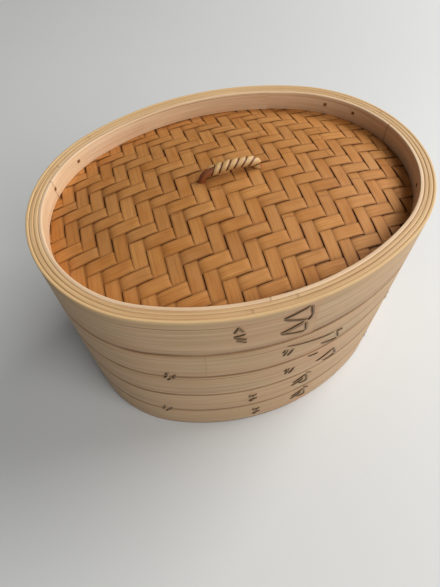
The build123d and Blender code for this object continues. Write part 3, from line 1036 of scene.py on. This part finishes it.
# The lining hoop's finish is a paler copy of the hoop finish: painted light on the inner wall, which
# lies in shade.
PAINTED_LIGHT_HOOP = make_hoop_finish(
    "lining_hoop_painted_light", strip_grain, 0.23, tint(246, 218, 184), tint(228, 192, 150)
)
SPLINT = make_splint_finish()
LINING = make_lining_finish()
SLAT = make_slat_finish("slat_bamboo", strip_grain)
BAR = make_slat_finish("bar_bamboo", lambda tree: solid_grain(tree, (0, 0, math.pi / 2)))
PEG = make_peg_finish()
CANE = make_cane_finish()
ROD = make_rod_finish()
BINDING = make_binding_finish()

WALL_POINT = make_wall_group()
NEAREST_WALL = make_nearest_wall_group()
HOOP_TREE = make_hoop_tree(WALL_POINT)
SPLINTS_ALONG_X = make_splint_tree("X")
SPLINTS_ALONG_Y = make_splint_tree("Y")
CANE_TREE = make_cane_tree(NEAREST_WALL)
ROD_TREE = make_rod_tree()
BINDING_TREE = make_binding_tree()


def bend_hoop(node_name, body, slot, material, lap, seed, thickness, **settings):
    """A bent hoop in the place of a CAD hoop; its lap has an angle and a turn in degrees."""
    low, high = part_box(node_name)
    lap_angle, lap_turn = lap
    inputs = {
        "Low": low.z,
        "High": high.z,
        "Inset": HALF_LENGTH - high.x,
        "Lap Angle": math.radians(lap_angle),
        "Lap Turn": math.radians(lap_turn),
        "Thickness": thickness,
        "Seed": float(seed),
        "Material": material,
        **settings,
    }
    new_piece(f"{node_name}_strip", HOOP_TREE, inputs, body, [node_name])


def make_lid_hoops():
    """The four bent hoops of the lid's rim."""
    bend_hoop(
        "lid_outer_hoop", "lid", "band_bamboo", LID_BAND,
        lap=(-108.0, 22.0), seed=1, thickness=WALL_INSET, Slack=BAND_SLACK,
    )
    bend_hoop(
        "lid_wall_hoop", "lid", "hoop_bamboo", HOOP,
        lap=(140.0, 16.0), seed=2, thickness=RING_INSET - WALL_INSET, **{"Edge Round": 0.8 * MM},
    )
    turn = {"thickness": TURN_THICKNESS, "Edge Round": 0.7 * MM}
    bend_hoop("lid_inner_hoop", "lid", "hoop_bamboo", HOOP, lap=(-60.0, 16.0), seed=3, **turn)
    # The lining hoop takes the paler finish, painted light on its shaded inner face.
    bend_hoop("lid_lining_hoop", "lid", "hoop_bamboo", PAINTED_LIGHT_HOOP, lap=(70.0, 14.0), seed=4, **turn)


def make_tier_hoops(tier, seed, lap_angles):
    """The two bands and the keeper ring of a tier."""
    lower_lap = (lap_angles[0], 20.0)
    upper_lap = (lap_angles[1], 24.0)
    keeper_lap = (30.0 * seed, 14.0)
    loose = {"Slack": BAND_SLACK, "Unevenness": 1.6 * MM}
    bend_hoop(
        f"{tier}_lower_band", tier, "band_bamboo", BAND, lower_lap, seed, WALL_INSET, **loose
    )
    bend_hoop(
        f"{tier}_upper_band", tier, "band_bamboo", BAND, upper_lap, seed + 1, WALL_INSET, **loose
    )
    bend_hoop(
        f"{tier}_keeper_ring", tier, "hoop_bamboo", HOOP, keeper_lap, seed + 2, KEEPER_THICKNESS
    )


def weave_lid():
    """The woven top: wide splints along X and along Y, two over and two under.

    The rows' offset moves the twill of the columns by the same share of a row.
    """
    bowed = {
        "Level": WEAVE_EDGE - WEAVE_HALF,
        "Rise": WEAVE_RISE,
        "Inset": WEAVE_INSET,
        "Wave": 0.55 * MM,
        "Material": SPLINT,
    }
    lean_of_rows = 0.04
    lean_of_columns = 0.08
    new_piece(
        "lid_weave_long_splints",
        SPLINTS_ALONG_X,
        {
            "Count": 21, "Pitch": ROW_PITCH, "Width": 9.8 * MM, "Offset": ROW_OFFSET,
            "Lean": lean_of_rows, "Crossing Pitch": COLUMN_PITCH,
            "Crossing Lean": lean_of_columns, "Twill Shift": 1.0, "Segments": 190,
            "Seed": 1.0, **bowed,
        },
        "lid", ["lid_weave"],
    )
    new_piece(
        "lid_weave_cross_splints",
        SPLINTS_ALONG_Y,
        {
            "Count": 28, "Pitch": COLUMN_PITCH, "Width": 10.0 * MM, "Offset": COLUMN_OFFSET,
            "Lean": lean_of_columns, "Crossing Pitch": ROW_PITCH,
            "Crossing Lean": lean_of_rows, "Twill Shift": 1.0 - ROW_OFFSET / ROW_PITCH,
            "Segments": 150, "Seed": 2.0, **bowed,
        },
        "lid", ["lid_weave"],
    )


def weave_lining():
    """The lining: the same twill in finer, paler splints, close under the woven top."""
    pitch = 5.4 * MM
    fine = {
        "Level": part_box("lid_lining")[0].z + LINING_THICKNESS / 2,
        "Rise": WEAVE_RISE,
        "Inset": WEAVE_INSET,
        "Thickness": 0.35 * MM,
        "Wave": 0.2 * MM,
        "Crown": 0.02 * MM,
        "Sway": 0.15 * MM,
        "Pitch": pitch,
        "Width": 5.2 * MM,
        "Crossing Pitch": pitch,
        "Segments": 110,
        "Material": LINING,
    }
    new_piece(
        "lid_lining_long_splints", SPLINTS_ALONG_X, {"Count": 39, "Seed": 3.0, **fine},
        "lid", ["lid_lining"],
    )
    new_piece(
        "lid_lining_cross_splints", SPLINTS_ALONG_Y,
        {"Count": 53, "Seed": 4.0, "Twill Shift": 0.5, **fine},
        "lid", ["lid_lining"],
    )


def lay_slats(tier, seed):
    """The floor slats of a tier."""
    low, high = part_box(f"{tier}_floor_slats")
    crown = 0.3 * MM
    thickness = high.z - low.z - crown
    new_piece(
        f"{tier}_floor_slat_row",
        SPLINTS_ALONG_X,
        {
            "Count": 17, "Segments": 40, "Pitch": 12.4 * MM, "Width": 10.0 * MM,
            "Thickness": thickness, "Wave": 0.0, "Inset": HALF_LENGTH - high.x,
            "Level": low.z + thickness / 2, "Crown": crown, "Sway": 0.35 * MM,
            "Seed": float(seed), "Material": SLAT,
        },
        tier, [f"{tier}_floor_slats"],
    )


# ---------------------------------------------------------------- cane on the bands


def wall_point(angle, height):
    """A point on the outline where its outward normal has this angle in degrees."""
    out_x = math.cos(math.radians(angle))
    out_y = math.sin(math.radians(angle))
    if abs(out_y) > math.sin(JOINT):
        x = SIDE_RADIUS * out_x
        y = SIDE_RADIUS * out_y - math.copysign(SIDE_CENTRE, out_y)
    else:
        x = END_RADIUS * out_x + math.copysign(END_CENTRE, out_x)
        y = END_RADIUS * out_y
    return Vector((x, y, height)), Vector((-out_y, out_x, 0.0))


def lay_cane(name, node_name, body, knots, width):
    """Cane runs on both long sides; each knot has its angle, its height and its runs."""
    mesh = bpy.data.meshes.new(name)
    points = []
    for angle, height, runs in knots:
        for side in (0, 180):
            foot, round_way = wall_point(angle + side, height)
            for run in runs:
                for right, up in run:
                    points.append(foot + round_way * right * MM + Vector((0, 0, up * MM)))
    edges = [(2 * number, 2 * number + 1) for number in range(len(points) // 2)]
    mesh.from_pydata(points, edges, [])
    inputs = {"Width": width, "Material": CANE}
    new_piece(name, CANE_TREE, inputs, body, [node_name], mesh)


# Runs of cane, each from one point to another, in millimetres round and up the wall
LID_STITCH = [
    [(-2.2, 1.0), (1.0, 8.4)],
    [(-0.2, 8.2), (3.8, 1.6)],
    [(-3.0, -3.6), (5.6, -1.6)],
    [(-2.4, -4.4), (6.2, -9.4)],
    [(-1.0, -8.8), (6.2, -13.6)],
]
TWO_STROKES = [
    [(-3.0, -5.6), (0.2, 4.4)],
    [(0.2, -6.6), (4.6, 3.0)],
    [(-4.0, 0.6), (-1.6, 4.8)],
]
CROSSED_STROKES = [
    [(-4.2, 1.4), (3.8, 5.8)],
    [(-3.4, 7.0), (0.8, -1.4)],
    [(-2.8, -5.4), (4.2, -3.2)],
    [(-3.6, -7.6), (1.2, -6.4)],
]
SEAM_STITCH = [
    [(-2.0, 3.6), (0.6, 7.4)],
    [(-3.6, -2.6), (0.2, 2.2)],
    [(-1.4, -6.6), (2.2, -2.0)],
    [(3.4, -3.0), (5.2, 4.8)],
]
LID_TRIANGLES = [
    [(-9.0, 10.2), (9.4, 17.6)],
    [(9.8, 17.4), (12.4, 4.4)],
    [(12.4, 4.6), (9.6, -0.4)],
    [(-8.6, 9.6), (9.4, 0.4)],
    [(-9.4, -8.4), (7.6, -0.4)],
    [(-8.0, -8.6), (7.8, -2.2)],
    [(8.8, -2.4), (10.6, -14.6)],
    [(10.2, -15.4), (-9.0, -9.2)],
]
LONG_WEDGE = [
    [(-30.0, 9.8), (15.6, -1.8)],
    [(16.2, -1.4), (20.4, -14.6)],
    [(2.2, -9.2), (19.4, -15.8)],
    [(15.4, -0.6), (21.6, -3.2)],
]
DARK_WEDGE = [
    [(-20.0, 13.6), (-9.6, 11.2)],
    [(-9.0, -7.6), (7.6, 1.2)],
    [(-1.0, -13.4), (12.8, -14.6)],
    [(7.0, 2.2), (13.6, -14.0)],
]
SHORT_WEDGE = [
    [(-7.6, 2.8), (4.6, 11.4)],
    [(-1.0, -3.6), (8.2, -5.8)],
    [(4.8, 11.2), (8.8, -7.2)],
    [(4.0, 15.0), (9.8, 9.6)],
    [(-8.4, -2.8), (4.2, 3.6)],
]


# Angles in degrees of the wall's outward normal at the cane, as in part.py, with the cane's
# shapes; the lower band's come first
FOOT_STITCH_ANGLE = -47.0
FOOT_STITCH_HEIGHT = 8.0 * MM
STITCH_WIDTH = 1.7 * MM
CANE_OF_TIERS = {
    "upper_tier": {
        "stitches": (-89.4, -90.9),
        "lashings": (-79.8, -83.6),
        "seam_stitch": -115.6,
        "strokes": TWO_STROKES,
        "wedges": (DARK_WEDGE, LONG_WEDGE),
    },
    "lower_tier": {
        "stitches": (-96.0, -97.3),
        "lashings": (-84.2, -85.2),
        "seam_stitch": -119.0,
        "strokes": CROSSED_STROKES,
        "wedges": (SHORT_WEDGE, SHORT_WEDGE),
    },
}


def make_band_cane(tier, stitches, lashings, seam_stitch, strokes, wedges):
    """The stitches and lashings of a tier."""
    base, band_top = (corner.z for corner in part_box(f"{tier}_lower_band"))
    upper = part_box(f"{tier}_upper_band")[0].z
    half_band = (band_top - base) / 2
    knots = [
        (stitches[0], base + half_band, strokes),
        (stitches[1], upper + half_band, strokes),
        (seam_stitch, upper, SEAM_STITCH),
        (FOOT_STITCH_ANGLE, base + FOOT_STITCH_HEIGHT, SEAM_STITCH),
    ]
    lay_cane(f"{tier}_stitch_cane", f"{tier}_stitches", tier, knots, STITCH_WIDTH)
    knots = [
        (lashings[0], base + half_band, wedges[0]),
        (lashings[1], upper + half_band, wedges[1]),
    ]
    lay_cane(f"{tier}_lashing_cane", f"{tier}_lashings", tier, knots, 1.8 * MM)


def make_lid_cane():
    """The stitches and the two stacked triangles that tie the lid's outer hoop."""
    low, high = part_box("lid_outer_hoop")
    middle = (low.z + high.z) / 2
    stitch_angle = -101.5
    stitch_lift = 4.0 * MM
    lashing_angle = -91.0
    knots = [(stitch_angle, middle + stitch_lift, LID_STITCH)]
    lay_cane("lid_stitch_cane", "lid_stitches", "lid", knots, STITCH_WIDTH)
    knots = [(lashing_angle, middle, LID_TRIANGLES)]
    lay_cane("lid_lashing_cane", "lid_lashings", "lid", knots, 1.9 * MM)


# ---------------------------------------------------------------- handle


def handle_curve(points):
    """A smooth curve through the handle's corners, square to Y."""
    curve = bpy.data.curves.new("handle_line", "CURVE")
    curve.dimensions = "3D"
    spline = curve.splines.new("NURBS")
    spline.points.add(len(points) - 1)
    for place, point in zip(spline.points, points):
        place.co = (*point, 1.0)
    spline.order_u = 3
    spline.use_endpoint_u = True
    spline.resolution_u = 16
    return curve


def make_handle():
    """The bent cane and the strip wound round its arch."""
    low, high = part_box("lid_handle")
    middle = (low + high) / 2
    radius = (high.y - low.y) / 2
    crown = high.z - radius
    tail = low.z + radius
    reach = (high.x - low.x) / 2 - radius
    foot = 22.0 * MM
    shoulder = 19.6 * MM
    bend = 13.0 * MM
    half = [
        (reach, tail),
        (foot, WEAVE_EDGE + WEAVE_RISE),
        (shoulder, crown - 3.0 * MM),
        (bend, crown - 1.4 * MM),
    ]
    shape = [(-along, up) for along, up in half] + [(0.0, crown)] + half[::-1]
    curve = handle_curve([(middle.x + along, middle.y, up) for along, up in shape])
    inputs = {"Radius": radius - 0.1 * MM, "Unevenness": 0.1 * MM, "Material": ROD}
    new_piece("lid_handle_cane", ROD_TREE, inputs, "lid", ["lid_handle"], curve)
    inputs = {
        "Turns": 6.8, "Start": reach - 5.0 * MM, "Pitch": 5.9 * MM, "Width": 4.7 * MM,
        "Thickness": 0.6 * MM, "Radius": radius + 0.2 * MM, "Crown": 0.3 * MM,
        "Slant": 1.7 * MM, "Segments": 260, "Material": BINDING,
    }
    new_piece(
        "lid_handle_winding", BINDING_TREE, inputs, "lid",
        ["lid_handle_binding"], curve,
    )


# ---------------------------------------------------------------- CAD nodes that keep their shape


def finish_cad_nodes():
    """Better materials on the CAD nodes whose shape is right."""
    kept = {"lid_support_hoop": WALL, "lid_ribs": BAR, "lid_toggles": PEG, "lid_rim_pegs": PEG}
    of_a_tier = {
        "wall_hoop": WALL, "ledge_ring": WALL, "crossbars": BAR, "floor_pegs": PEG, "wall_pegs": PEG,
    }
    for tier in CANE_OF_TIERS:
        kept.update({f"{tier}_{part}": material for part, material in of_a_tier.items()})
    for name, material in kept.items():
        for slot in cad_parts[name].material_slots:
            slot.material = material


# ---------------------------------------------------------------- room, light and camera


def make_floor():
    """A square table top, large enough to fill the view."""
    mesh = bpy.data.meshes.new("table_top")
    half = 3.0
    corners = [(-half, -half, 0), (half, -half, 0), (half, half, 0), (-half, half, 0)]
    mesh.from_pydata(corners, [], [(0, 1, 2, 3)])
    mesh.materials.append(make_floor_finish())
    floor = bpy.data.objects.new("table_top", mesh)
    bpy.context.scene.collection.objects.link(floor)


def add_light(name, place, size, power):
    """A soft square light that faces the steamer; its power in watts."""
    target = Vector((0, 0, 0.1))
    light = bpy.data.lights.new(name, "AREA")
    light.size = size
    light.energy = power
    light.color = (1.0, 0.99, 0.975)
    lamp = bpy.data.objects.new(name, light)
    facing = (target - Vector(place)).to_track_quat("-Z", "Y").to_matrix().to_4x4()
    lamp.matrix_world = Matrix.Translation(place) @ facing
    bpy.context.scene.collection.objects.link(lamp)


def make_light():
    """A large window on the right, a weaker one in front of it and an even, dim room."""
    add_light("window", place=(2.0, 0.3, 1.68), size=1.7, power=57.0)
    add_light("front_window", place=(0.9, -1.6, 1.6), size=1.4, power=30.0)
    world = bpy.data.worlds.new("room")
    world.use_nodes = True
    background = world.node_tree.nodes["Background"]
    background.inputs["Color"].default_value = (0.96, 0.98, 1.0, 1.0)
    background.inputs["Strength"].default_value = 0.13
    bpy.context.scene.world = world
    bpy.context.scene.view_settings.view_transform = "Standard"


def make_camera():
    """A hand-held camera over the front of the steamer; its turn, pitch and roll in radians."""
    place = Vector((-0.0906, -0.2260, 0.4125))
    turn = 0.3252
    pitch = 0.9904
    roll = -0.0332
    level = math.cos(pitch)
    ahead = Vector((math.sin(turn) * level, math.cos(turn) * level, -math.sin(pitch)))
    right = Vector((math.cos(turn), -math.sin(turn), 0.0))
    up = right.cross(ahead)
    rolled_right = right * math.cos(roll) + up * math.sin(roll)
    rolled_up = up * math.cos(roll) - right * math.sin(roll)
    axes = Matrix((rolled_right, rolled_up, -ahead)).transposed().to_4x4()
    data = bpy.data.cameras.new("camera")
    data.lens = 26.68
    data.sensor_width = 36.0
    data.clip_start = 0.01
    camera = bpy.data.objects.new("camera", data)
    camera.matrix_world = Matrix.Translation(place) @ axes
    bpy.context.scene.collection.objects.link(camera)
    bpy.context.scene.camera = camera


make_camera()
make_lid_hoops()
make_tier_hoops("upper_tier", seed=11, lap_angles=(-98.0, -106.0))
make_tier_hoops("lower_tier", seed=21, lap_angles=(-100.0, -110.0))
weave_lid()
weave_lining()
lay_slats("upper_tier", seed=5)
lay_slats("lower_tier", seed=6)
for tier, cane in CANE_OF_TIERS.items():
    make_band_cane(tier, **cane)
make_lid_cane()
make_handle()
finish_cad_nodes()
make_floor()
make_light()
